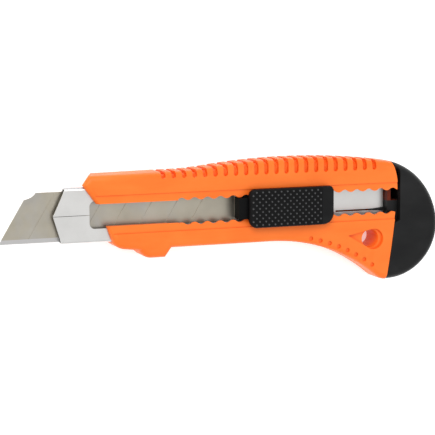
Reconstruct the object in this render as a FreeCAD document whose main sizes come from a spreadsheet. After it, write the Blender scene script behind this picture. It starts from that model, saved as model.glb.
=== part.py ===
import FreeCAD, Part
import Sketcher
import math
import os

# An 18 mm snap-off cutter that lies on its back. +X runs from the blade to the end cap, +Y runs from the
# cutting edge to the ribbed back of the handle, and +Z points out of the face that carries the thumb slider.
# The origin is on the flat back face, half way along the handle, behind the blade's centre line.

V = FreeCAD.Vector


def sizes():
    """The driving dimensions in millimetres, and the ones worked out from them."""
    s = dict(
        # the handle's outline, from the nose round to the rear and back along the belly
        thickness=13.0, edge_round=2.2, back_wall=2.2,
        mouth_top_x=-59.4, mouth_low_x=-55.7, nose_tip_x=-64.3, nose_tip_y=10.9,
        nose_crown_x=-62.0, nose_crown_y=14.2, relief_level=10.6, relief_run=3.2, relief_fall=1.0,
        grip_front_x=-33.0, grip_front_y=14.7, grip_swell_x=-15.0, grip_swell_y=15.75,
        cap_top_x=57.0, cap_top_y=15.0, joint_x=59.4, joint_y=3.5, cap_low_x=54.9, cap_low_y=-30.3,
        tail_x=52.2, tail_y=-29.6, belly_x=8.0, belly_y=-13.2,
        guard_back_x=-31.2, guard_foot_x=-33.7, guard_foot_y=-16.6, guard_front_x=-39.2,
        throat_x=-43.4, throat_y=-13.6, chin_x=-48.4, chin_y=-13.0, jaw_x=-53.4, jaw_y=-10.5,
        swell_in_radius=125.0, crown_radius=270.0, joint_upper_radius=22.0, joint_lower_radius=400.0,
        tail_radius=6.0, belly_radius=67.8, throat_radius=4.6, jaw_radius=7.0,
        # the wavy slot, and the hollows behind it
        slot_half=4.1, wave_half=4.55, wave_height=0.45, wave_pitch=5.0, wave_start_x=-28.75,
        wave_count=19, band_thickness=0.85, track_half=7.1, track_depth=0.4, undercut_half=5.6,
        undercut_lead=4.0, hollow_half=7.0, hollow_x=-35.0,
        lobe_front_x=49.0, lobe_top=-21.6, lobe_low=-25.2,
        # grip grooves, dimples and the lanyard hole
        groove_count=22, groove_pitch=4.0, groove_first_x=-34.5, groove_width=1.7, groove_foot_y=12.2,
        groove_top_y=21.0, groove_depth=1.15, dimple_count=8, dimple_pitch=4.0, dimple_radius=0.85,
        dimple_depth=0.6, dimple_inset=2.2, dimple_first_x=23.5,
        lanyard_x=48.45, lanyard_y=-14.2, lanyard_radius=3.5, tear_x=49.5, tear_y=-14.3,
        tear_radius=3.95, tear_point_x=38.8, tear_point_y=-12.5, tear_depth=1.2,
        # the folded steel channel
        sheet=0.5, channel_half=10.0, channel_floor=6.8, channel_depth=3.6, lip_half=5.0,
        fold_round=0.9, channel_tip_x=-75.0, channel_top_x=-70.3, channel_low_x=-72.0,
        window_x=-61.6, window_round=2.0, channel_rear_x=56.0, seam_half=0.08,
        vent_top=-3.4, vent_low=-3.95, vent_x=36.0, pocket_gap=0.25, pocket_play=0.1,
        # the blade
        blade_half=9.0, blade_drop=-0.35, blade_thickness=0.5, blade_length=100.0, segment=9.8,
        score_angle=58.6, first_score_x=-79.05, score_count=7, score_width=0.3, score_depth=0.18,
        bevel_width=1.9, bevel_land=0.06, blade_hole_radius=2.5, blade_hole_inset=6.2,
        blade_hole_y=0.05, blade_corner=3.0, snap_low=6.7, snap_run=4.3, snap_hollow=0.55,
        # the slider
        play=0.05, carrier_front_x=-5.2, carrier_rear_x=20.2, carrier_half=8.7, carrier_waist=5.2,
        carrier_tab=4.5, stud_radius=1.4, collar_radius=2.4, press_travel=0.9, press_play=0.1,
        tooth_start_x=-3.6, tooth_gap=0.15, tooth_height=0.7, neck_half=3.9, neck_front_x=-5.8,
        neck_rear_x=19.5, foot_height=0.75, foot_inner=5.5, foot_front_x=-0.5, foot_rear_x=15.0,
        pad_gap=1.2, pad_height=3.0, pad_half=7.2, pad_front_x=-2.4, pad_rear_x=31.7, pad_corner=2.6,
        pad_slope_x=22.0, pad_drop=1.0, pad_round=0.8,
        spring_half=2.4, spring_sheet=0.25, spring_play=0.03, spring_front_x=4.5, spring_rear_x=18.5,
        # the end cap
        cap_rear_x=77.3, cap_rear_y=-9.4, cap_upper_radius=26.5, cap_lower_radius=20.95,
        cap_foot_x=55.05, cap_head_x=57.2, cap_step_x=60.5, cap_step_top=11.5, cap_step_low=-7.5,
        cap_notch_x=58.3, cap_notch_y=-8.6, cap_round=3.4, cap_wall=2.0,
        shell_head_x=54.0, shell_head_y=10.6, shell_upper_x=69.3, shell_upper_y=6.2,
        shell_lower_x=68.5, shell_lower_y=-23.2, shell_foot_x=52.0, shell_foot_y=-26.0,
        plug_front_x=56.3, plug_rear_x=66.5, plug_half=9.9, plug_play=0.2, plug_lap=0.5,
        core_half=6.6, core_front_x=58.0, lobe_rear_x=69.5, window_front_x=57.7, window_rear_x=63.0,
        window_low=-0.1, window_top=6.3, prong_length=6.8, prong_tip=0.3, prong_low=-4.4,
        prong_top=-2.8, prong_height=0.45,
    )
    s["pocket_half"] = s["channel_half"] + s["pocket_gap"]
    s["pocket_floor"] = s["channel_floor"] - s["pocket_play"]
    s["pocket_top"] = s["channel_floor"] + s["channel_depth"] + s["pocket_play"]
    s["lip_top"] = s["channel_floor"] + s["channel_depth"]
    s["lip_floor"] = s["lip_top"] - s["sheet"]
    s["blade_floor"] = s["channel_floor"] + s["sheet"] + s["play"]
    s["blade_top"] = s["blade_floor"] + s["blade_thickness"]
    s["carrier_floor"] = s["blade_top"] + s["play"]
    s["carrier_top"] = s["carrier_floor"] + s["sheet"]
    s["foot_top"] = s["lip_floor"] - s["play"]
    s["foot_floor"] = s["foot_top"] - s["foot_height"]
    s["flange_floor"] = s["carrier_top"] + s["press_travel"] + s["press_play"]
    s["band_top"] = s["thickness"] - s["track_depth"]
    s["band_floor"] = s["band_top"] - s["band_thickness"]
    s["tooth_floor"] = s["band_floor"] + s["play"]
    s["pad_floor"] = s["thickness"] + s["pad_gap"]
    s["pad_top"] = s["pad_floor"] + s["pad_height"]
    s["score_run"] = 1 / math.tan(math.radians(s["score_angle"]))
    s["blade_tip_x"] = s["first_score_x"] - s["segment"] - s["blade_half"] * s["score_run"]
    s["blade_tail_x"] = s["blade_tip_x"] + s["blade_length"]
    s["stud_x"] = s["blade_tail_x"] - s["blade_hole_inset"]
    s["stud_y"] = s["blade_drop"] + s["blade_hole_y"]
    s["past_rear_x"] = s["joint_x"] + 3
    s["before_nose_x"] = s["nose_tip_x"] - 6
    return s


def make_sheet(doc, table):
    """One row for each size: its name, and its value under that name as an alias."""
    sheet = doc.addObject("Spreadsheet::Sheet", "Sizes")
    for row, (name, value) in enumerate(table.items(), start=1):
        sheet.set(f"A{row}", name)
        sheet.set(f"B{row}", str(round(value, 6)))
        sheet.setAlias(f"B{row}", name)
    doc.recompute()
    return sheet


class Maker:
    """Holds the document and its sheet, and the small steps that every sub-part is made with."""

    def __init__(self, doc, sheet):
        self.doc = doc
        self.sheet = sheet

    def size(self, name):
        """The value of a cell, or its negative where the name starts with a minus."""
        if name.startswith("-"):
            return -float(self.sheet.get(name[1:]))
        return float(self.sheet.get(name))

    def expression(self, name):
        return f"-Sizes.{name[1:]}" if name.startswith("-") else f"Sizes.{name}"

    def bind(self, thing, attribute, name):
        thing.setExpression(attribute, self.expression(name))

    def body(self, name):
        body = self.doc.addObject("PartDesign::Body", name)
        body.Label = name
        return body

    def sketch(self, body, name, role="XY_Plane", level=None):
        """A sketch on an origin plane of its body, or parallel to it at the height that a cell gives."""
        sketch = body.newObject("Sketcher::SketchObject", name)
        plane = next(f for f in body.Origin.OriginFeatures if f.Role == role)
        sketch.AttachmentSupport = [(plane, "")]
        sketch.MapMode = "FlatFace"
        if level:
            self.bind(sketch, "AttachmentOffset.Base.z", level)
        return sketch

    def outline(self, sketch, corners):
        """A closed outline. Each corner is its x cell, its y cell, and the radius cell of the arc that leads
        to the next corner, or None for a line. A minus before the radius bends the arc to the right."""
        spots = [V(self.size(x), self.size(y), 0) for x, y, _ in corners]
        ends = []
        for i, (_, _, radius) in enumerate(corners):
            a, b = spots[i], spots[(i + 1) % len(spots)]
            if radius is None:
                ends.append((sketch.addGeometry(Part.LineSegment(a, b), False), 1, 2))
                continue
            r = self.size(radius)
            along = (b - a).normalize()
            left = V(-along.y, along.x, 0)
            half = (b - a).Length / 2
            rise = math.sqrt(r * r - half * half)
            centre = (a + b) * 0.5 + left * (rise if r > 0 else -rise)
            first, last = (a, b) if r > 0 else (b, a)
            angles = [math.atan2(p.y - centre.y, p.x - centre.x) for p in (first, last)]
            circle = Part.Circle(centre, V(0, 0, 1), abs(r))
            index = sketch.addGeometry(Part.ArcOfCircle(circle, *angles), False)
            ends.append((index, 1, 2) if r > 0 else (index, 2, 1))
            sketch.addConstraint(Sketcher.Constraint("Radius", index, abs(r)))
            self.bind(sketch, f"Constraints[{sketch.ConstraintCount - 1}]", radius.lstrip("-"))
        for i, (x, y, _) in enumerate(corners):
            index, start, _ = ends[i]
            before, _, end = ends[i - 1]
            sketch.addConstraint(Sketcher.Constraint("Coincident", before, end, index, start))
            for kind, name, value in (("DistanceX", x, spots[i].x), ("DistanceY", y, spots[i].y)):
                sketch.addConstraint(Sketcher.Constraint(kind, -1, 1, index, start, value))
                self.bind(sketch, f"Constraints[{sketch.ConstraintCount - 1}]", name)

    def loop(self, sketch, edges):
        """A closed run of lines and arcs whose ends already meet. A pair is a line and a triple is an arc."""
        for spots in edges:
            curve = Part.LineSegment(*spots) if len(spots) == 2 else Part.Arc(*spots)
            sketch.addGeometry(curve, False)

    def ring(self, sketch, spots):
        """A closed run of straight lines through the spots."""
        self.loop(sketch, [(spots[i], spots[(i + 1) % len(spots)]) for i in range(len(spots))])

    def depth(self, feature, text):
        """Gives a pad or a pocket a length that is worked out from the sheet's cells."""
        feature.setExpression("Length", text)
        self.doc.recompute()

    def circle(self, sketch, x, y, radius):
        """A circle whose centre and radius follow their cells."""
        spot = V(self.size(x), self.size(y), 0)
        index = sketch.addGeometry(Part.Circle(spot, V(0, 0, 1), self.size(radius)), False)
        for kind, at, name, value in (
            ("DistanceX", (-1, 1, index, 3), x, spot.x),
            ("DistanceY", (-1, 1, index, 3), y, spot.y),
            ("Radius", (index,), radius, self.size(radius)),
        ):
            sketch.addConstraint(Sketcher.Constraint(kind, *at, value))
            self.bind(sketch, f"Constraints[{sketch.ConstraintCount - 1}]", name)

    def pad(self, body, sketch, length, both_ways=False):
        pad = body.newObject("PartDesign::Pad", f"{sketch.Name}_pad")
        pad.Profile = sketch
        pad.Midplane = both_ways
        self.bind(pad, "Length", length)
        self.doc.recompute()
        return pad

    def pocket(self, body, sketch, length=None, upward=False, both_ways=False, along=None):
        """Cuts down from the sketch, or up from it, or along a vector, to a cell's depth or right through."""
        before = body.Shape.Volume
        pocket = body.newObject("PartDesign::Pocket", f"{sketch.Name}_cut")
        pocket.Profile = sketch
        pocket.Reversed = upward
        pocket.Midplane = both_ways
        if along:
            pocket.UseCustomVector = True
            pocket.Direction = along
        if length:
            self.bind(pocket, "Length", length)
        else:
            pocket.Type = "ThroughAll"
        self.doc.recompute()
        if not body.Shape.Volume < before - 1e-6:
            raise RuntimeError(f"{sketch.Name} cuts nothing")
        return pocket

    def box(self, name, low, high):
        """A block between two corners. Each of its six numbers is an expression of the sheet's cells."""
        block = self.doc.addObject("Part::Box", name)
        for axis, side, first, last in zip("xyz", ("Length", "Width", "Height"), low, high):
            block.setExpression(f"Placement.Base.{axis}", first)
            block.setExpression(side, f"({last}) - ({first})")
        self.doc.recompute()
        return block

    def fillet(self, body, name, edges, radius):
        """Rounds those edges of the body's tip."""
        base = body.Tip
        fillet = body.newObject("PartDesign::Fillet", name)
        fillet.Base = (base, edges)
        self.bind(fillet, "Radius", radius)
        self.doc.recompute()
        return fillet

    def cut(self, name, base, tool):
        cut = self.doc.addObject("Part::Cut", name)
        cut.Base, cut.Tool = base, tool
        cut.Label = name
        self.doc.recompute()
        return cut


def level_edges(shape, heights, keep=lambda spot: True):
    """The names of the edges that lie flat at one of the heights, where keep says so of their middles."""
    found = []
    for number, edge in enumerate(shape.Edges, start=1):
        box = edge.BoundBox
        middle = edge.valueAt((edge.FirstParameter + edge.LastParameter) / 2)
        if any(abs(box.ZMin - h) < 1e-3 and abs(box.ZMax - h) < 1e-3 for h in heights) and keep(middle):
            found.append(f"Edge{number}")
    return found


def wave_y(m, x, base):
    """The height of a wavy edge at x: round crests and hollows in turn, each half a pitch long."""
    half, rise = m.size("wave_pitch") / 2, m.size("wave_height")
    turn = math.floor((x - m.size("wave_start_x")) / half + 1e-6)
    middle = m.size("wave_start_x") + (turn + 0.5) * half
    radius = ((half / 2) ** 2 + rise**2) / (2 * rise)
    bulge = math.sqrt(radius**2 - (x - middle) ** 2) - (radius - rise)
    return base + (bulge if turn % 2 == 0 else -bulge)


def wave_edge(m, start, end, base):
    """The arcs of a wavy edge from start to end, one for each half of a wave."""
    half, origin = m.size("wave_pitch") / 2, m.size("wave_start_x")
    arcs, x = [], start
    while x < end - 1e-6:
        turn = math.floor((x - origin) / half + 1e-6)
        stop = min(end, origin + (turn + 1) * half)
        middle = (x + stop) / 2
        first = V(x, wave_y(m, x, base), 0)
        last = V(stop, base if stop < end else wave_y(m, stop - 1e-5, base), 0)
        arcs.append((first, V(middle, wave_y(m, middle, base), 0), last))
        x = stop
    return arcs


def handle_outline(m, sketch):
    m.outline(sketch, [
        ("mouth_top_x", "slot_half", None),
        ("mouth_low_x", "-slot_half", None),
        ("jaw_x", "jaw_y", "jaw_radius"),
        ("chin_x", "chin_y", None),
        ("throat_x", "throat_y", "throat_radius"),
        ("guard_front_x", "guard_foot_y", None),
        ("guard_foot_x", "guard_foot_y", None),
        ("guard_back_x", "belly_y", None),
        ("belly_x", "belly_y", "-belly_radius"),
        ("tail_x", "tail_y", "tail_radius"),
        ("cap_low_x", "cap_low_y", "joint_lower_radius"),
        ("joint_x", "joint_y", "joint_upper_radius"),
        ("cap_top_x", "cap_top_y", "crown_radius"),
        ("grip_swell_x", "grip_swell_y", "-swell_in_radius"),
        ("grip_front_x", "grip_front_y", None),
        ("nose_crown_x", "nose_crown_y", None),
        ("nose_tip_x", "nose_tip_y", None),
    ])


def slot_outline(m, sketch, start, end):
    """The slider's slot: straight at the nose, then both edges run in the same waves."""
    step, straight, wide = m.size("wave_start_x"), m.size("slot_half"), m.size("wave_half")
    upper = wave_edge(m, step, end, wide)
    lower = wave_edge(m, step, end, -wide)
    m.loop(sketch, [
        (V(start, straight, 0), V(step, straight, 0)),
        (V(step, straight, 0), upper[0][0]),
        *upper,
        (upper[-1][2], lower[-1][2]),
        *lower,
        (lower[0][0], V(step, -straight, 0)),
        (V(step, -straight, 0), V(start, -straight, 0)),
        (V(start, -straight, 0), V(start, straight, 0)),
    ])


def rectangle(m, sketch, x0, y0, x1, y1):
    """A rectangle between two corners, given in millimetres."""
    m.ring(sketch, [V(x0, y0, 0), V(x1, y0, 0), V(x1, y1, 0), V(x0, y1, 0)])


def teardrop(m, sketch):
    """The recess round the lanyard hole: a circle and the two tangents from a point towards the blade."""
    centre = V(m.size("tear_x"), m.size("tear_y"), 0)
    point = V(m.size("tear_point_x"), m.size("tear_point_y"), 0)
    radius = m.size("tear_radius")
    away = centre - point
    heading = math.atan2(away.y, away.x)
    spread = math.acos(radius / away.Length)
    back = heading + math.pi
    touch = [centre + V(math.cos(a), math.sin(a), 0) * radius for a in (back + spread, back - spread)]
    far = centre + V(math.cos(heading), math.sin(heading), 0) * radius
    m.loop(sketch, [(point, touch[0]), (touch[0], far, touch[1]), (touch[1], point)])


def make_handle(m):
    body = m.body("handle_blank")
    outline = m.sketch(body, "handle_outline")
    handle_outline(m, outline)
    m.pad(body, outline, "thickness")
    rims = level_edges(body.Shape, (0, m.size("thickness")), lambda spot: spot.x < m.size("cap_low_x"))
    m.fillet(body, "handle_round", rims, "edge_round")
    lean_nose(m, body)
    open_slot(m, body)
    hollow_out(m, body)

    hole = m.sketch(body, "lanyard_hole", level="thickness")
    m.circle(hole, "lanyard_x", "lanyard_y", "lanyard_radius")
    m.pocket(body, hole)
    for name, level, upward in (("front", "thickness", False), ("back", None, True)):
        tear = m.sketch(body, f"teardrop_{name}", level=level)
        teardrop(m, tear)
        m.pocket(body, tear, "tear_depth", upward=upward)
        dimples = m.sketch(body, f"dimples_{name}", level=level)
        belly_dimples(m, dimples)
        m.pocket(body, dimples, "dimple_depth", upward=upward)
    return m.cut("handle", body, grip_grooves(m))


def lean_nose(m, body):
    """Cuts the end of the nose so that it leans back from the front face's rounding to the back face."""
    mouth = V(m.size("mouth_top_x"), m.size("slot_half"), 0)
    tip = V(m.size("nose_tip_x"), m.size("nose_tip_y"), 0)
    crown = V(m.size("nose_crown_x"), m.size("nose_crown_y"), 0)
    above = crown + (crown - tip) * 2
    far = m.size("before_nose_x")
    nose = m.sketch(body, "nose_lean", level="relief_level")
    m.ring(nose, [mouth, tip, above, V(far, above.y, 0), V(far, mouth.y, 0)])
    lean = V(m.size("relief_run"), -m.size("relief_fall"), -m.size("relief_level"))
    m.pocket(body, nose, "thickness", along=lean)


def open_slot(m, body):
    """The slot for the slider: the shallow track, the wavy opening, and the room for the teeth below it."""
    front, rear = m.size("before_nose_x"), m.size("past_rear_x")
    track = m.sketch(body, "slot_track", level="thickness")
    rectangle(m, track, front, -m.size("track_half"), rear, m.size("track_half"))
    m.pocket(body, track, "track_depth")
    slot = m.sketch(body, "slider_slot", level="thickness")
    slot_outline(m, slot, front, m.size("wave_start_x") + m.size("wave_count") * m.size("wave_pitch"))
    m.depth(m.pocket(body, slot, "thickness"), "Sizes.thickness - Sizes.pocket_floor")
    lead, half = m.size("wave_start_x") - m.size("undercut_lead"), m.size("undercut_half")
    undercut = m.sketch(body, "tooth_undercut", level="band_floor")
    rectangle(m, undercut, lead, -half, rear, half)
    m.depth(m.pocket(body, undercut, "track_depth"), "Sizes.band_floor - Sizes.pocket_floor")


def hollow_out(m, body):
    """The pocket that holds the steel channel, and the deeper hollows that lighten the handle's rear."""
    front, rear = m.size("before_nose_x"), m.size("past_rear_x")
    half, wide = m.size("pocket_half"), m.size("hollow_half")
    channel = m.sketch(body, "channel_pocket", level="pocket_top")
    rectangle(m, channel, front, -half, rear, half)
    m.depth(m.pocket(body, channel, "track_depth"), "Sizes.pocket_top - Sizes.pocket_floor")
    hollow = m.sketch(body, "rear_hollow", level="pocket_floor")
    rectangle(m, hollow, m.size("hollow_x"), -wide, rear, wide)
    m.depth(m.pocket(body, hollow, "track_depth"), "Sizes.pocket_floor - Sizes.back_wall")
    lobe = m.sketch(body, "lobe_hollow", level="pocket_top")
    rectangle(m, lobe, m.size("lobe_front_x"), m.size("lobe_low"), rear, m.size("lobe_top"))
    m.depth(m.pocket(body, lobe, "track_depth"), "Sizes.pocket_top - Sizes.back_wall")


def belly_dimples(m, sketch):
    """A row of round dimples just inside the curve of the belly, evenly spaced along it."""
    radius = m.size("belly_radius") + m.size("dimple_inset")
    centre = V(m.size("belly_x"), m.size("belly_y") - m.size("belly_radius"), 0)
    first = math.asin((m.size("dimple_first_x") - centre.x) / radius)
    for i in range(int(m.size("dimple_count"))):
        angle = first + i * m.size("dimple_pitch") / radius
        spot = centre + V(math.sin(angle), math.cos(angle), 0) * radius
        sketch.addGeometry(Part.Circle(spot, V(0, 0, 1), m.size("dimple_radius")), False)


def grip_grooves(m):
    """The grooves that wrap over the ribbed back: a comb of round-ended bars, less a core that stays."""
    comb = m.body("groove_comb")
    bars = m.sketch(comb, "groove_bars", level=None)
    half, foot, top = m.size("groove_width") / 2, m.size("groove_foot_y"), m.size("groove_top_y")
    for i in range(int(m.size("groove_count"))):
        x = m.size("groove_first_x") + i * m.size("groove_pitch")
        left, right, low = V(x - half, foot + half, 0), V(x + half, foot + half, 0), V(x, foot, 0)
        high_left, high_right = V(x - half, top, 0), V(x + half, top, 0)
        m.loop(bars, [(left, low, right), (right, high_right), (high_right, high_left), (high_left, left)])
    m.pad(comb, bars, "thickness")

    core = m.body("groove_core")
    depth = m.size("groove_depth")
    face = m.sketch(core, "core_outline", level="groove_depth")
    crown = [("grip_front_x", "grip_front_y"), ("grip_swell_x", "grip_swell_y"), ("cap_top_x", "cap_top_y")]
    front, swell, rear = (V(m.size(x), m.size(y) - depth, 0) for x, y in crown)
    nose = V(m.size("nose_crown_x"), m.size("nose_crown_y") - depth, 0)
    rise = arc_middle(front, swell, m.size("swell_in_radius"))
    arch = arc_middle(swell, rear, -m.size("crown_radius"))
    low_left, low_right = V(nose.x, 0, 0), V(rear.x, 0, 0)
    m.loop(face, [(nose, front), (front, rise, swell), (swell, arch, rear), (rear, low_right),
                  (low_right, low_left), (low_left, nose)])
    m.depth(m.pad(core, face, "thickness"), "Sizes.thickness - 2 * Sizes.groove_depth")

    def on_crown(spot):
        return spot.y > m.size("groove_foot_y") and nose.x + 1 < spot.x < rear.x - 1

    edges = level_edges(core.Shape, (depth, m.size("thickness") - depth), on_crown)
    m.fillet(core, "core_round", edges, "edge_round")
    return m.cut("groove_tools", comb, core)


def arc_middle(a, b, radius):
    """The middle of the arc from a to b, which bends to the left of the way where the radius is positive."""
    along = (b - a).normalize()
    left = V(-along.y, along.x, 0)
    half = (b - a).Length / 2
    sag = abs(radius) - math.sqrt(radius**2 - half**2)
    return (a + b) * 0.5 - left * (sag if radius > 0 else -sag)


def make_channel(m):
    """A strip of steel folded into a flat C, closed at its mouth by two flaps that meet on a seam."""
    body = m.body("blade_channel")
    plate = m.sketch(body, "channel_section", level="channel_floor")
    m.outline(plate, [
        ("channel_tip_x", "-seam_half", None), ("channel_low_x", "-channel_half", None),
        ("channel_rear_x", "-channel_half", None), ("channel_rear_x", "channel_half", None),
        ("channel_top_x", "channel_half", None), ("channel_tip_x", "seam_half", None),
    ])
    m.pad(body, plate, "channel_depth")
    length = m.size("channel_rear_x") - m.size("channel_low_x")
    folds = [f"Edge{number}" for number, edge in enumerate(body.Shape.Edges, start=1)
             if runs_along_x(edge) and edge.Length > length - 3]
    m.fillet(body, "channel_folds", folds, "fold_round")

    before, past = m.size("channel_tip_x") - 1, m.size("channel_rear_x") + 1
    inner, half, seam = m.size("channel_half") - m.size("sheet"), m.size("lip_half"), m.size("seam_half")
    inside = m.sketch(body, "channel_inside", level="channel_floor")
    rectangle(m, inside, before, -inner, past, inner)
    inside.setExpression("AttachmentOffset.Base.z", "Sizes.channel_floor + Sizes.sheet")
    m.depth(m.pocket(body, inside, "sheet", upward=True), "Sizes.channel_depth - 2 * Sizes.sheet")
    window = m.sketch(body, "channel_window", level="lip_top")
    front, r = m.size("window_x"), m.size("window_round")
    k = r * (1 - math.sqrt(0.5))
    m.loop(window, [
        (V(front + r, -half, 0), V(past, -half, 0)), (V(past, -half, 0), V(past, half, 0)),
        (V(past, half, 0), V(front + r, half, 0)),
        (V(front + r, half, 0), V(front + k, half - k, 0), V(front, half - r, 0)),
        (V(front, half - r, 0), V(front, -half + r, 0)),
        (V(front, -half + r, 0), V(front + k, -half + k, 0), V(front + r, -half, 0)),
    ])
    m.pocket(body, window, "sheet")
    slit = m.sketch(body, "channel_seam", level="lip_top")
    rectangle(m, slit, before, -seam, front + 1, seam)
    m.pocket(body, slit, "sheet")
    vent = m.sketch(body, "rear_vent", level="blade_floor")
    rectangle(m, vent, m.size("vent_x"), m.size("vent_low"), past, m.size("vent_top"))
    m.depth(m.pocket(body, vent, "sheet"), "2 * Sizes.sheet")
    return body


def runs_along_x(edge):
    """True for a straight edge along X."""
    box = edge.BoundBox
    return box.YLength < 1e-3 and box.ZLength < 1e-3


def make_blade(m):
    """A scored strip of steel with its cutting edge at -Y and its tail hole over the carrier's stud."""
    body = m.body("blade")
    half, slope, corner = m.size("blade_half"), m.size("score_run"), m.size("blade_corner")
    tip, tail = m.size("blade_tip_x"), m.size("blade_tail_x")
    snap_low = V(tip + (half + m.size("snap_low")) * slope, m.size("snap_low"), 0)
    snap_top = V(snap_low.x + m.size("snap_run"), half, 0)
    snap_middle = arc_middle(snap_top, snap_low, -hollow_radius(snap_top, snap_low, m.size("snap_hollow")))
    outline = m.sketch(body, "blade_outline", level="blade_floor")
    m.loop(outline, [
        (V(tip, -half, 0), V(tail - corner, -half, 0)),
        (V(tail - corner, -half, 0), V(tail, -half + corner, 0)),
        (V(tail, -half + corner, 0), V(tail, half - corner, 0)),
        (V(tail, half - corner, 0), V(tail - corner, half, 0)), (V(tail - corner, half, 0), snap_top),
        (snap_top, snap_middle, snap_low), (snap_low, V(tip, -half, 0)),
    ])
    m.pad(body, outline, "blade_thickness")
    hole = m.sketch(body, "tail_hole", level="blade_top")
    m.circle(hole, "stud_x", "blade_hole_y", "blade_hole_radius")
    m.pocket(body, hole)

    scores = m.sketch(body, "score_lines", level="blade_top")
    wide, reach = m.size("score_width") / 2, half + 1
    for i in range(int(m.size("score_count"))):
        x = m.size("first_score_x") + i * m.size("segment")
        low, top = x - reach * slope, x + reach * slope
        m.ring(scores, [V(low - wide, -reach, 0), V(low + wide, -reach, 0),
                        V(top + wide, reach, 0), V(top - wide, reach, 0)])
    m.pocket(body, scores, "score_depth")

    edge = m.sketch(body, "cutting_bevel", role="YZ_Plane")
    low, top = m.size("blade_floor"), m.size("blade_top")
    middle, land, past = (low + top) / 2, m.size("bevel_land"), -half - 0.1
    for flat, sharp in ((top, middle + land), (low, middle - land)):
        m.ring(edge, [V(-half + m.size("bevel_width"), flat, 0), V(past, sharp, 0), V(past, flat, 0)])
    m.pocket(body, edge, both_ways=True)
    m.bind(body, "Placement.Base.y", "blade_drop")
    m.doc.recompute()
    return body


def hollow_radius(a, b, sag):
    """The radius of the arc between two points that stands off their chord by sag."""
    half = (b - a).Length / 2
    return (half**2 + sag**2) / (2 * sag)


def make_carrier(m):
    """The steel plate over the blade's tail: wide at both ends and narrow under the block's feet."""
    body = m.body("blade_carrier")
    x0, x1, tab = (m.size(n) for n in ("carrier_front_x", "carrier_rear_x", "carrier_tab"))
    wide, waist = m.size("carrier_half"), m.size("carrier_waist")
    side = [
        (x0, wide), (x0 + tab, wide), (x0 + tab, waist),
        (x1 - tab, waist), (x1 - tab, wide), (x1, wide),
    ]
    outline = m.sketch(body, "carrier_outline", level="carrier_floor")
    m.ring(outline, [V(x, y, 0) for x, y in side] + [V(x, -y, 0) for x, y in reversed(side)])
    m.pad(body, outline, "sheet")
    hole = m.sketch(body, "stud_hole", level="carrier_top")
    m.circle(hole, "stud_x", "stud_y", "stud_radius")
    m.pocket(body, hole)
    return body


def make_stud(m):
    """A stud riveted flush into the carrier, with a wider collar that fills the blade's tail hole."""
    body = m.body("carrier_stud")
    shank = m.sketch(body, "stud_shank", level="blade_floor")
    m.circle(shank, "stud_x", "stud_y", "stud_radius")
    m.depth(m.pad(body, shank, "sheet"), "Sizes.carrier_top - Sizes.blade_floor")
    collar = m.sketch(body, "stud_collar", level="blade_floor")
    m.circle(collar, "stud_x", "stud_y", "collar_radius")
    m.pad(body, collar, "blade_thickness")
    return body


def make_lock_block(m):
    """The moulding inside the slot: feet under the channel's lips, wavy teeth, and a neck up to the pad."""
    body = m.body("lock_block")
    neck, front, rear = m.size("neck_half"), m.size("neck_front_x"), m.size("neck_rear_x")
    column = m.sketch(body, "neck_column", level="flange_floor")
    rectangle(m, column, front, -neck, rear, neck)
    m.depth(m.pad(body, column, "sheet"), "Sizes.pad_floor - Sizes.flange_floor")
    teeth = m.sketch(body, "lock_teeth", level="tooth_floor")
    wide = m.size("wave_half") - m.size("tooth_gap")
    start = m.size("tooth_start_x")
    upper, lower = wave_edge(m, start, rear, wide), wave_edge(m, start, rear, -wide)
    m.loop(teeth, [*upper, (upper[-1][2], lower[-1][2]), *lower, (lower[0][0], upper[0][0])])
    m.pad(body, teeth, "tooth_height")
    x0, x1 = m.size("foot_front_x"), m.size("foot_rear_x")
    inner, outer = m.size("foot_inner"), m.size("carrier_half")
    flange = m.sketch(body, "block_flange", level="flange_floor")
    rectangle(m, flange, x0, -outer, x1, outer)
    m.depth(m.pad(body, flange, "sheet"), "Sizes.foot_top - Sizes.flange_floor")
    feet = m.sketch(body, "block_feet", level="foot_floor")
    for low, high in ((-outer, -inner), (inner, outer)):
        rectangle(m, feet, x0, low, x1, high)
    m.pad(body, feet, "foot_height")
    return body


def make_spring(m):
    """A leaf of spring steel that arches between the carrier and the lock block."""
    body = m.body("lock_spring")
    leaf = m.sketch(body, "spring_side", role="XZ_Plane")
    x0, x1, gap = m.size("spring_front_x"), m.size("spring_rear_x"), m.size("spring_play")
    low, high, t = m.size("carrier_top") + gap, m.size("flange_floor") - gap, m.size("spring_sheet")
    middle = (x0 + x1) / 2
    m.loop(leaf, [
        (V(x0, low, 0), V(middle, high - t, 0), V(x1, low, 0)), (V(x1, low, 0), V(x1, low + t, 0)),
        (V(x1, low + t, 0), V(middle, high, 0), V(x0, low + t, 0)), (V(x0, low + t, 0), V(x0, low, 0)),
    ])
    m.depth(m.pad(body, leaf, "spring_half", both_ways=True), "2 * Sizes.spring_half")
    return body


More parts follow.
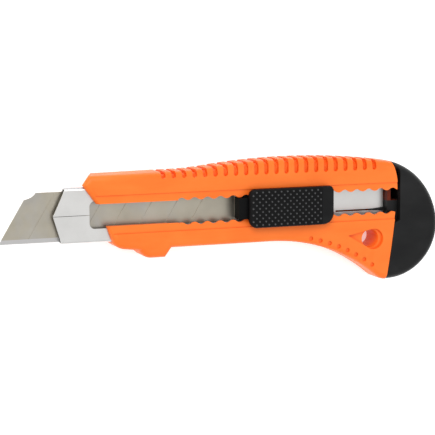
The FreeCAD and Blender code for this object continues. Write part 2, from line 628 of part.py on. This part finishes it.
def make_thumb_pad(m):
    """The thumb pad: a rounded block that floats above the front face and slopes away at its rear."""
    body = m.body("thumb_pad")
    x0, x1, half, r = (m.size(n) for n in ("pad_front_x", "pad_rear_x", "pad_half", "pad_corner"))
    k = r * (1 - math.sqrt(0.5))
    plan = m.sketch(body, "pad_plan", level="pad_floor")
    corners = [
        ((x0, -half + r), (x0 + k, -half + k), (x0 + r, -half)),
        ((x1 - r, -half), (x1 - k, -half + k), (x1, -half + r)),
        ((x1, half - r), (x1 - k, half - k), (x1 - r, half)),
        ((x0 + r, half), (x0 + k, half - k), (x0, half - r)),
    ]
    arcs = [tuple(V(x, y, 0) for x, y in corner) for corner in corners]
    for i, arc in enumerate(arcs):
        m.loop(plan, [arc, (arc[2], arcs[(i + 1) % 4][0])])
    m.pad(body, plan, "pad_height")

    slope = m.sketch(body, "pad_slope", role="XZ_Plane")
    top, start, drop = m.size("pad_top"), m.size("pad_slope_x"), m.size("pad_drop")
    m.ring(slope, [V(start, top, 0), V(x1 + 1, top - drop, 0), V(x1 + 1, top + 1, 0), V(start, top + 1, 0)])
    m.pocket(body, slope, both_ways=True)
    m.fillet(body, "pad_rounding", pad_rim(m, body.Shape), "pad_round")
    return body


def pad_rim(m, shape):
    """The edges round the pad's top, without the crease where its rear slope starts."""
    start, level = m.size("pad_slope_x"), m.size("pad_top") - 2 * m.size("pad_drop")
    rim = []
    for number, edge in enumerate(shape.Edges, start=1):
        box = edge.BoundBox
        crease = abs(box.XMin - start) < 1e-3 and abs(box.XMax - start) < 1e-3
        if box.ZMin > level and box.ZLength < m.size("pad_drop") + 0.3 and not crease:
            rim.append(f"Edge{number}")
    return rim


def make_cap_shell(m):
    """The cap's shell: a hollow D whose front edge follows the handle, and stands back behind the slot."""
    body = m.body("cap_shell")
    outline = m.sketch(body, "cap_outline")
    m.outline(outline, [
        ("cap_foot_x", "cap_low_y", "cap_lower_radius"),
        ("cap_rear_x", "cap_rear_y", "cap_upper_radius"),
        ("cap_head_x", "cap_top_y", None),
        ("cap_step_x", "cap_step_top", None),
        ("cap_step_x", "cap_step_low", None),
        ("cap_notch_x", "cap_notch_y", "-joint_lower_radius"),
    ])
    m.pad(body, outline, "thickness")
    behind_step = m.size("cap_step_x") + 2
    edges = level_edges(body.Shape, (0, m.size("thickness")), lambda spot: spot.x > behind_step)
    m.fillet(body, "cap_rim", edges, "cap_round")
    hollow = m.sketch(body, "cap_hollow", level="thickness")
    hollow.setExpression("AttachmentOffset.Base.z", "Sizes.thickness - Sizes.cap_wall")
    head, upper, lower, foot = (
        V(m.size(f"shell_{name}_x"), m.size(f"shell_{name}_y"), 0)
        for name in ("head", "upper", "lower", "foot"))
    rear = V(m.size("cap_rear_x") - 2 * m.size("cap_wall"), m.size("cap_rear_y"), 0)
    m.loop(hollow, [(foot, lower, rear), (rear, upper, head), (head, foot)])
    m.depth(m.pocket(body, hollow, "cap_wall"), "Sizes.thickness - 2 * Sizes.cap_wall")
    return body


def make_plug(m):
    """The cap's plug: a plate behind the channel, a core below it, a lobe in the tail, and a prong."""
    floor, top = "Sizes.pocket_floor + Sizes.plug_play", "Sizes.pocket_top - Sizes.plug_play"
    low = "Sizes.back_wall + Sizes.plug_play"
    plate = m.box("plug_plate", ("Sizes.plug_front_x", "-Sizes.plug_half", floor),
                  ("Sizes.plug_rear_x", "Sizes.plug_half", top))
    core = m.box("plug_core", ("Sizes.core_front_x", "-Sizes.core_half", low),
                 ("Sizes.plug_rear_x", "Sizes.core_half", f"{floor} + Sizes.plug_lap"))
    lobe_front, lobe_low = "Sizes.lobe_front_x + 5 * Sizes.plug_play", "Sizes.lobe_low + Sizes.plug_play"
    lobe = m.box("plug_lobe", (lobe_front, lobe_low, low),
                 ("Sizes.lobe_rear_x", "Sizes.lobe_top - Sizes.plug_play", top))
    prong = m.body("plug_prong")
    wedge = m.sketch(prong, "prong_plan", level="blade_floor")
    middle, tip = (m.size("vent_low") + m.size("vent_top")) / 2, m.size("prong_tip")
    root, reach = m.size("plug_front_x") + 1, m.size("plug_front_x") - m.size("prong_length")
    m.ring(wedge, [V(root, m.size("prong_low"), 0), V(root, m.size("prong_top"), 0),
                   V(reach, middle + tip / 2, 0), V(reach, middle - tip / 2, 0)])
    m.pad(prong, wedge, "prong_height")
    fuse = m.doc.addObject("Part::MultiFuse", "plug")
    fuse.Shapes = [plate, core, lobe, prong]
    m.doc.recompute()
    return fuse


def join_cap(m, shell, plug):
    """The shell and its plug as one moulding, with the window that lightens the plate cut through both."""
    whole = m.doc.addObject("Part::MultiFuse", "cap_whole")
    whole.Shapes = [shell, plug]
    m.doc.recompute()
    window = m.box("plug_window", ("Sizes.window_front_x", "Sizes.window_low", "Sizes.back_wall - 1"),
                   ("Sizes.window_rear_x", "Sizes.window_top", "Sizes.pocket_top"))
    return m.cut("end_cap", whole, window)


def main():
    doc = FreeCAD.newDocument("snap_off_cutter")
    m = Maker(doc, make_sheet(doc, sizes()))
    parts = [
        make_handle(m), make_channel(m), make_blade(m), make_carrier(m), make_stud(m),
        make_lock_block(m), make_spring(m), make_thumb_pad(m), join_cap(m, make_cap_shell(m), make_plug(m)),
    ]
    doc.recompute()
    for thing in doc.Objects:
        if "Invalid" in thing.State or "Error" in thing.State:
            raise RuntimeError(f"{thing.Name} is {thing.State}")
    os.makedirs("parts", exist_ok=True)
    for part in parts:
        shape = part.Shape
        if shape.isNull() or not shape.isValid() or len(shape.Solids) != 1:
            raise RuntimeError(f"{part.Label} has no sound shape, or {len(shape.Solids)} solids")
        shape.exportStep(f"parts/{part.Label}.step")
        print(part.Label, round(shape.Volume, 1), "cubic mm")


main()
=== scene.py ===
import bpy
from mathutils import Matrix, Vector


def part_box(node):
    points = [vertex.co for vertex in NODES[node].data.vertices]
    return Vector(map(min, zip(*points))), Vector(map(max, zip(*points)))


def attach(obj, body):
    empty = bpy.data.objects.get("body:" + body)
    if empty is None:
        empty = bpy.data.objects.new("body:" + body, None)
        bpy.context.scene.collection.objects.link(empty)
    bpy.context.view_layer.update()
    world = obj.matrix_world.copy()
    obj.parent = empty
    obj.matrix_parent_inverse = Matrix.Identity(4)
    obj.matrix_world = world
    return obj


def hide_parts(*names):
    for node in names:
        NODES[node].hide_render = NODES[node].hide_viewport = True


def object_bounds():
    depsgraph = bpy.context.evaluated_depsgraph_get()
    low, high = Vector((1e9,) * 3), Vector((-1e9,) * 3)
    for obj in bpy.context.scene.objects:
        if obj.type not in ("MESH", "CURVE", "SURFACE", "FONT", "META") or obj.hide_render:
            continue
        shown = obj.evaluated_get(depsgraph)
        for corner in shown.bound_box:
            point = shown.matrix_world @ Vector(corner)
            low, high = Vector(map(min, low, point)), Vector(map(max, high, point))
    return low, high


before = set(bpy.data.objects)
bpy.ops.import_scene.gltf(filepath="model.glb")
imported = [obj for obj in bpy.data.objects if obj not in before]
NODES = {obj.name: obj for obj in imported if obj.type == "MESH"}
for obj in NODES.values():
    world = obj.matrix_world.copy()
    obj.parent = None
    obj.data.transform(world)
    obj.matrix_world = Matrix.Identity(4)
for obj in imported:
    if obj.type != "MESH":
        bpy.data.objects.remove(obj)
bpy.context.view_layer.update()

import math

import bmesh
import bpy
from mathutils import Matrix, Vector

# A snap-off cutter on its back. +X runs from the blade to the end cap, +Y from the cutting edge to the
# ribbed back, and +Z points out of the face with the thumb slider. Lengths are in metres.
MM = 0.001


# ---------------------------------------------------------------------------------------------- materials

class Shader:
    """A node material: a Principled shader, and the small steps that build what feeds it."""

    def __init__(self, name, **constants):
        self.material = bpy.data.materials.new(name)
        self.material.use_nodes = True
        self.tree = self.material.node_tree
        self.surface = next(n for n in self.tree.nodes if n.type == "BSDF_PRINCIPLED")
        for socket, value in constants.items():
            self.surface.inputs[socket.replace("_", " ")].default_value = value
        self.place = self.node("ShaderNodeTexCoord").outputs["Object"]

    def node(self, kind, inputs=None, **settings):
        made = self.tree.nodes.new(kind)
        for key, value in settings.items():
            setattr(made, key, value)
        for key, value in (inputs or {}).items():
            self.feed(made.inputs[key], value)
        return made

    def feed(self, socket, value):
        """A link where the value is a socket, and a plain value otherwise."""
        if isinstance(value, bpy.types.NodeSocket):
            self.tree.links.new(value, socket)
        else:
            socket.default_value = value

    def stretched(self, x, y, z):
        """The object's own coordinates, scaled along each axis."""
        mapping = self.node("ShaderNodeMapping", {"Vector": self.place, "Scale": (x, y, z)})
        return mapping.outputs["Vector"]

    def noise(self, scale, detail=3.0, rough=0.5, place=None):
        inputs = {"Vector": place or self.place, "Scale": scale, "Detail": detail, "Roughness": rough}
        return self.node("ShaderNodeTexNoise", inputs).outputs["Fac"]

    def ramp(self, fac, *stops):
        """A colour ramp from (position, colour) stops. A number stands for a grey."""
        ramp = self.node("ShaderNodeValToRGB", {"Fac": fac})
        points = ramp.color_ramp.elements
        while len(points) < len(stops):
            points.new(0.5)
        for point, (position, colour) in zip(points, stops):
            point.position = position
            point.color = (*colour, 1) if isinstance(colour, tuple) else (colour, colour, colour, 1)
        return ramp.outputs["Color"]

    def math(self, operation, a, b=0.0):
        return self.node("ShaderNodeMath", {0: a, 1: b}, operation=operation).outputs[0]

    def mix(self, fac, a, b, blend="MIX"):
        inputs = {0: fac, 6: a, 7: b}
        return self.node("ShaderNodeMix", inputs, data_type="RGBA", blend_type=blend).outputs[2]

    def edges(self, low=0.52, high=0.62):
        """High where the surface turns outwards sharply, along a sharp convex edge."""
        point = self.node("ShaderNodeNewGeometry").outputs["Pointiness"]
        return self.ramp(point, (low, 0.0), (high, 1.0))

    def shade_in_hollows(self, reach):
        """High where walls stand close by, as in a groove or a recess: the mask of the painted shade there.
        """
        open_sky = self.node("ShaderNodeAmbientOcclusion", {"Distance": reach}, samples=8).outputs["AO"]
        return self.ramp(open_sky, (0.35, 1.0), (0.85, 0.0))

    def within(self, low, high):
        """One inside a box of the object's own coordinates, and nothing outside it."""
        split = self.node("ShaderNodeSeparateXYZ", {0: self.place})
        inside = 1.0
        for axis, floor, roof in zip("XYZ", low, high):
            above = self.math("GREATER_THAN", split.outputs[axis], floor)
            below = self.math("LESS_THAN", split.outputs[axis], roof)
            inside = self.math("MULTIPLY", self.math("MULTIPLY", above, below), inside)
        return inside

    def bump(self, height, strength, distance, below=None):
        inputs = {"Height": height, "Strength": strength, "Distance": distance}
        if below:
            inputs["Normal"] = below
        return self.node("ShaderNodeBump", inputs).outputs["Normal"]

    def finish(self, colour, roughness, normal):
        self.feed(self.surface.inputs["Base Color"], colour)
        self.feed(self.surface.inputs["Roughness"], roughness)
        self.feed(self.surface.inputs["Normal"], normal)
        return self.material


def moulded_plastic(name, tones, gloss, shine, painted_light_and_shade=None):
    """Moulded ABS: flow marks, painted shade in hollows, paler sharp edges, a fine grain and a few hair
    scratches.
    """
    body, pale, deep, hollow_shade = tones
    grain = 0.02 * MM
    s = Shader(name, Specular_IOR_Level=shine)
    flow = s.noise(55, 4, 0.55, s.stretched(1, 2.2, 1.4))
    colour = s.ramp(flow, (0.3, deep), (0.5, body), (0.72, pale))
    colour = s.mix(s.math("MULTIPLY", s.edges(), 0.35), colour, (*pale, 1))
    # Painted shade: the hollow colour laid into grooves and recesses, where walls stand close by.
    colour = s.mix(s.math("MULTIPLY", s.shade_in_hollows(2.2 * MM), 0.8), colour, (*hollow_shade, 1))
    # Painted light and shade, laid on by the given function.
    if painted_light_and_shade:
        colour = painted_light_and_shade(s, colour)
    smudge = s.noise(140, 5, 0.6)
    roughness = s.math("ADD", s.math("MULTIPLY", smudge, 0.16), gloss)
    fine = s.noise(5200, 2, 0.6)
    scratch = s.noise(900, 2, 0.4, s.stretched(0.05, 1, 1))
    normal = s.bump(fine, 0.35, grain)
    normal = s.bump(s.ramp(scratch, (0.66, 0.0), (0.7, 1.0)), 0.12, grain, normal)
    return s.finish(colour, roughness, normal)


def sheet_steel(name, light, dark, rough, painted_light_and_shade=None):
    """Rolled steel: long rolling marks and cloudy handling marks."""
    s = Shader(name, Metallic=1.0)
    cloud = s.noise(120, 5, 0.62)
    colour = s.ramp(cloud, (0.3, dark), (0.62, light))
    rolled = s.noise(2600, 3, 0.6, s.stretched(0.03, 1, 1))
    colour = s.mix(0.1, colour, s.ramp(rolled, (0.3, dark), (0.7, light)))
    # Painted shade, laid on by the given function.
    if painted_light_and_shade:
        colour = painted_light_and_shade(s, colour)
    roughness = s.math("ADD", s.math("MULTIPLY", cloud, 0.14), rough)
    return s.finish(colour, roughness, s.bump(rolled, 0.12, 0.004 * MM))


def ground_steel(name, edge_y):
    """The blade: fine cross-grinding, oil marks, a few spots, and a bright bevel below edge_y."""
    s = Shader(name, Metallic=1.0)
    cloud = s.noise(70, 5, 0.6)
    steel = (0.28, (0.39, 0.36, 0.295)), (0.5, (0.45, 0.415, 0.34)), (0.74, (0.50, 0.47, 0.40))
    colour = s.ramp(cloud, *steel)
    oil = s.noise(45, 4, 0.7, s.stretched(1, 0.6, 1))
    colour = s.mix(s.ramp(oil, (0.5, 0.0), (0.8, 0.6)), colour, (0.40, 0.41, 0.46, 1))
    spots = s.ramp(s.noise(900, 3, 0.7), (0.71, 0.0), (0.76, 1.0))
    colour = s.mix(s.math("MULTIPLY", spots, 0.35), colour, (0.16, 0.11, 0.07, 1))
    split = s.node("ShaderNodeSeparateXYZ", {0: s.place})
    bevel = s.math("LESS_THAN", split.outputs["Y"], edge_y)
    colour = s.mix(bevel, colour, (0.56, 0.55, 0.545, 1))
    ground = s.noise(4200, 3, 0.6, s.stretched(1, 0.03, 1))
    roughness = s.math("ADD", s.math("MULTIPLY", cloud, 0.18), 0.26)
    return s.finish(colour, roughness, s.bump(ground, 0.3, 0.006 * MM))


def paint(node, material):
    """Puts the material on a CAD node, in place of the one that it was packed with."""
    mesh = NODES[node].data
    mesh.materials.clear()
    mesh.materials.append(material)


def soften(node, width):
    """Rounds a CAD node's sharp edges a little, as a mould or a press leaves them."""
    thing = NODES[node]
    weld = thing.modifiers.new("weld", "WELD")
    weld.merge_threshold = 0.002 * MM
    bevel = thing.modifiers.new("soft_edges", "BEVEL")
    bevel.width = width
    bevel.segments = 2
    bevel.limit_method = "ANGLE"
    bevel.angle_limit = math.radians(38)
    bevel.use_clamp_overlap = True
    bevel.harden_normals = True


def painted_shade_wall(s, colour):
    """The channel's side wall under the ribbed back, painted a darker grey than its face as painted shade.
    """
    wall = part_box("blade_channel")[1].y - 0.3 * MM
    return s.mix(s.within((-1, wall, -1), (1, 1, 1)), colour, (0.5, 0.5, 0.51, 1))


def plug_painted_reflection(s, colour):
    """The cap's plug behind the channel, painted red-brown as a painted reflection of the shaded orange
    handle around it.
    """
    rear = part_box("blade_channel")[1]
    low = (rear.x + 0.25 * MM, -0.15 * MM, 0.0)
    high = (rear.x + 4.45 * MM, 8.5 * MM, rear.z + 3 * MM)
    painted_reflection = s.mix(s.noise(400, 3, 0.6), (0.16, 0.018, 0.002, 1), (0.07, 0.007, 0.001, 1))
    return s.mix(s.within(low, high), colour, painted_reflection)


def pad_painted_dot_light(s, colour):
    """The thumb pad: painted shade between its dots and a painted highlight on their tips, and plain at its
    rear.
    """
    low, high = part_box("thumb_pad")
    dotted = s.within((low.x - MM, low.y - MM, low.z), (high.x - 5.0 * MM, high.y + MM, high.z + MM))
    # Painted shade between the dots.
    colour = s.mix(s.math("MULTIPLY", dotted, 0.85), colour, (0.002, 0.002, 0.0022, 1))
    tip = s.node("ShaderNodeAttribute", attribute_name="relief").outputs["Fac"]
    # Painted highlight on the dot tips, brighter where the dot stands higher.
    return s.mix(s.ramp(tip, (0.2, 0.0), (0.8, 0.9)), colour, (0.085, 0.085, 0.088, 1))


# Each set of tones is the body colour, a paler one, a deeper one, and the painted shade colour in hollows.
ORANGE_TONES = (0.90, 0.165, 0.014), (0.95, 0.19, 0.02), (0.86, 0.145, 0.010), (0.80, 0.085, 0.003)
BLACK_TONES = (0.0075, 0.0078, 0.008), (0.012, 0.012, 0.0125), (0.005, 0.005, 0.0055), (0.003, 0.003, 0.003)
# The lock block's black at a third of its brightness: painted shade, for its place deep between the orange
# walls.
SHADE_TONES = tuple(tuple(level / 3 for level in tone) for tone in BLACK_TONES)
ORANGE = moulded_plastic("orange_abs_moulded", ORANGE_TONES, 0.34, 0.3)
CAP_BLACK = moulded_plastic("black_abs_cap", BLACK_TONES, 0.38, 0.19, plug_painted_reflection)
PAD_BLACK = moulded_plastic("black_abs_pad", BLACK_TONES, 0.42, 0.13, pad_painted_dot_light)
SHADED_BLOCK_BLACK = moulded_plastic("black_abs_block_shaded", SHADE_TONES, 0.5, 0.1)
CHANNEL = sheet_steel("rolled_channel_steel", (0.72, 0.715, 0.70), (0.66, 0.655, 0.64), 0.3, painted_shade_wall)
PLATE = sheet_steel("rolled_plate_steel", (0.72, 0.715, 0.70), (0.66, 0.655, 0.64), 0.3)
SPRING = sheet_steel("blued_spring_steel", (0.36, 0.36, 0.38), (0.28, 0.28, 0.31), 0.28)
BLADE = ground_steel("ground_blade_steel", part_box("blade")[0].y + 1.6 * MM)

for node, material in (
    ("handle", ORANGE), ("end_cap", CAP_BLACK), ("lock_block", SHADED_BLOCK_BLACK), ("thumb_pad", PAD_BLACK),
    ("blade_channel", CHANNEL), ("blade_carrier", PLATE), ("carrier_stud", PLATE),
    ("blade", BLADE), ("lock_spring", SPRING),
):
    paint(node, material)


# ---------------------------------------------------------------------------------------------- thumb pad

class PadShape:
    """The thumb pad in plan and height: round corners and rim, a chamfered front and a sloping rear."""

    def __init__(self, node):
        self.low, self.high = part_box(node)
        self.middle = (self.low + self.high) / 2
        self.half_x = (self.high.x - self.low.x) / 2
        self.half_y = (self.high.y - self.low.y) / 2
        # the corner radii, by the side in X and the side in Y
        self.corners = {(-1, 1): 2.4 * MM, (1, 1): 2.0 * MM, (1, -1): 4.2 * MM, (-1, -1): 3.0 * MM}
        self.rim = 0.8 * MM
        self.dot_height = 0.42 * MM
        self.dot_radius = 0.62 * MM
        self.dot_pitch = 2.45 * MM
        self.row_pitch = 1.2 * MM
        self.dots_from = self.low.x + 1.3 * MM
        self.dots_to = self.low.x + 29.2 * MM
        self.front_run = 2.2 * MM
        self.front_drop = 0.9 * MM
        self.slope_x = self.low.x + 25.5 * MM
        self.slope_drop = 0.9 * MM

    def plan(self, u, v):
        """The place of a grid point, with u and v from -1 to 1, and how far in from the rim it is."""
        x, y = u * self.half_x, v * self.half_y
        corner = self.corners[(1 if x > 0 else -1, 1 if y > 0 else -1)]
        a, b = abs(x) - (self.half_x - corner), abs(y) - (self.half_y - corner)
        if a > 0 and b > 0:
            r2 = 2 * corner**2
            a, b = a * math.sqrt(1 - b * b / r2), b * math.sqrt(1 - a * a / r2)
            x = math.copysign(self.half_x - corner + a, x)
            y = math.copysign(self.half_y - corner + b, y)
            inside = corner - math.hypot(a, b)
        else:
            inside = min(self.half_x - abs(x), self.half_y - abs(y))
        return self.middle.x + x, self.middle.y + y, max(inside, 0.0)

    def dot(self, x, y):
        """The height of the dots at a place: rows along X, every other one shifted by half a pitch."""
        margin = 1.1 * MM
        row = round((y - self.middle.y) / self.row_pitch)
        shift = self.dot_pitch / 2 if row % 2 else 0.0
        step = round((x - self.dots_from - shift) / self.dot_pitch)
        centre_x = self.dots_from + shift + step * self.dot_pitch
        centre_y = self.middle.y + row * self.row_pitch
        if not self.dots_from - self.dot_radius < centre_x < self.dots_to:
            return 0.0
        if abs(centre_y - self.middle.y) > self.half_y - margin:
            return 0.0
        away = math.hypot(x - centre_x, y - centre_y) / self.dot_radius
        return self.dot_height * (0.5 + 0.5 * math.cos(math.pi * away)) if away < 1 else 0.0

    def height(self, x, y, inside):
        top = self.high.z - self.dot_height
        front = max(0.0, 1 - (x - self.low.x) / self.front_run)
        rear = max(0.0, (x - self.slope_x) / (self.high.x - self.slope_x))
        drop = self.front_drop * front**1.4 + self.slope_drop * rear**1.3
        short = max(0.0, self.rim - inside)
        roll = self.rim - math.sqrt(self.rim**2 - short**2)
        return top - drop - roll + self.dot(x, y)


def make_thumb_pad():
    """The pad's skin: a fine grid over the top, pulled into the plan, with a wall and a flat foot."""
    shape = PadShape("thumb_pad")
    step = 0.13 * MM
    across, along = int(2 * shape.half_y / step), int(2 * shape.half_x / step)
    mesh = bmesh.new()
    grid = []
    for i in range(along + 1):
        column = []
        for j in range(across + 1):
            x, y, inside = shape.plan(2 * i / along - 1, 2 * j / across - 1)
            column.append(mesh.verts.new((x, y, shape.height(x, y, inside))))
        grid.append(column)
    for i in range(along):
        for j in range(across):
            mesh.faces.new((grid[i][j], grid[i + 1][j], grid[i + 1][j + 1], grid[i][j + 1]))
    ring = [grid[i][0] for i in range(along)] + [grid[along][j] for j in range(across)]
    ring += [grid[i][across] for i in range(along, 0, -1)] + [grid[0][j] for j in range(across, 0, -1)]
    draft = 0.985
    foot = []
    for vert in ring:
        x = shape.middle.x + (vert.co.x - shape.middle.x) * draft
        y = shape.middle.y + (vert.co.y - shape.middle.y) * draft
        foot.append(mesh.verts.new((x, y, shape.low.z)))
    for k in range(len(ring)):
        n = (k + 1) % len(ring)
        mesh.faces.new((ring[n], ring[k], foot[k], foot[n]))
    mesh.faces.new(foot)
    bmesh.ops.recalc_face_normals(mesh, faces=mesh.faces)
    data = bpy.data.meshes.new("thumb_pad_skin")
    mesh.to_mesh(data)
    mesh.free()
    # The dots' height at each point, which the pad's material turns into a painted highlight on their tips.
    relief = data.attributes.new("relief", "FLOAT", "POINT")
    for vert, value in zip(data.vertices, relief.data):
        raised = shape.dot(vert.co.x, vert.co.y) if vert.co.z > shape.middle.z else 0.0
        value.value = raised / shape.dot_height
    for face in data.polygons:
        face.use_smooth = True
    data.materials.append(PAD_BLACK)
    data.set_sharp_from_angle(angle=math.radians(50))
    pad = bpy.data.objects.new("thumb_pad_skin", data)
    bpy.context.scene.collection.objects.link(pad)
    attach(pad, "button")
    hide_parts("thumb_pad")


make_thumb_pad()
soften("handle", 0.18 * MM)
soften("end_cap", 0.12 * MM)
soften("lock_block", 0.12 * MM)
soften("blade_channel", 0.05 * MM)


# ---------------------------------------------------------------------------------------------- stage

def make_floor():
    s = Shader("pale_floor", Emission_Color=(1, 1, 1, 1), Emission_Strength=0.4)
    tint = s.ramp(s.noise(6, 3, 0.5), (0.3, (0.90, 0.90, 0.90)), (0.7, (0.93, 0.93, 0.93)))
    s.finish(tint, 0.9, s.bump(s.noise(800, 2), 0.02, 0.1 * MM))
    mesh = bpy.data.meshes.new("floor")
    reach = 3.0
    corners = [(-reach, -reach, 0), (reach, -reach, 0), (reach, reach, 0), (-reach, reach, 0)]
    mesh.from_pydata(corners, [], [(0, 1, 2, 3)])
    mesh.materials.append(s.material)
    floor = bpy.data.objects.new("floor", mesh)
    bpy.context.scene.collection.objects.link(floor)
    floor.location.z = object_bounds()[0].z - 0.02 * MM


def make_world():
    """A pale studio: white overhead, a little darker towards the horizon."""
    world = bpy.data.worlds.new("studio")
    bpy.context.scene.world = world
    world.use_nodes = True
    tree = world.node_tree
    back = tree.nodes["Background"]
    place = tree.nodes.new("ShaderNodeTexCoord")
    split = tree.nodes.new("ShaderNodeSeparateXYZ")
    ramp = tree.nodes.new("ShaderNodeValToRGB")
    ramp.color_ramp.elements[0].position = 0.0
    ramp.color_ramp.elements[0].color = (0.62, 0.62, 0.63, 1)
    ramp.color_ramp.elements[1].position = 0.75
    ramp.color_ramp.elements[1].color = (1.0, 1.0, 1.0, 1)
    tree.links.new(place.outputs["Generated"], split.inputs[0])
    tree.links.new(split.outputs["Z"], ramp.inputs[0])
    tree.links.new(ramp.outputs[0], back.inputs["Color"])
    back.inputs["Strength"].default_value = 0.95


def make_light(name, spot, aim, size, power, shines):
    data = bpy.data.lights.new(name, "AREA")
    data.size = size
    data.energy = power
    light = bpy.data.objects.new(name, data)
    bpy.context.scene.collection.objects.link(light)
    light.location = spot
    light.rotation_euler = (Vector(aim) - Vector(spot)).to_track_quat("-Z", "Y").to_euler()
    light.visible_glossy = shines


def make_camera():
    """A long lens that looks down at the front face from beside the blade's end."""
    yaw, lift, roll = (math.radians(a) for a in (19.929, 7.522, -0.339))
    distance, sensor, focal_ratio = 0.58049, 36.0, 3.6389
    target = Vector((-13.863, -2.869, 13.0)) * MM
    away = Vector((-math.sin(yaw) * math.cos(lift), math.sin(lift), math.cos(yaw) * math.cos(lift)))
    level = Vector((0, 1, 0)).cross(away).normalized()
    rise = away.cross(level)
    right = level * math.cos(roll) + rise * math.sin(roll)
    up = rise * math.cos(roll) - level * math.sin(roll)
    data = bpy.data.cameras.new("camera")
    data.sensor_width = sensor
    data.lens = sensor * focal_ratio
    data.clip_start, data.clip_end = 0.01, 20
    camera = bpy.data.objects.new("camera", data)
    bpy.context.scene.collection.objects.link(camera)
    turn = Matrix((right, up, away)).transposed().to_4x4()
    camera.matrix_world = Matrix.Translation(target + away * distance) @ turn
    bpy.context.scene.camera = camera


make_floor()
make_world()
make_light("key", (-0.5, 0.7, 0.9), (0, 0, 0), 0.8, 7.0, True)
make_light("fill", (0.7, -0.4, 0.8), (0, 0, 0), 1.0, 2.0, False)
make_camera()
bpy.context.scene.view_settings.view_transform = "Standard"
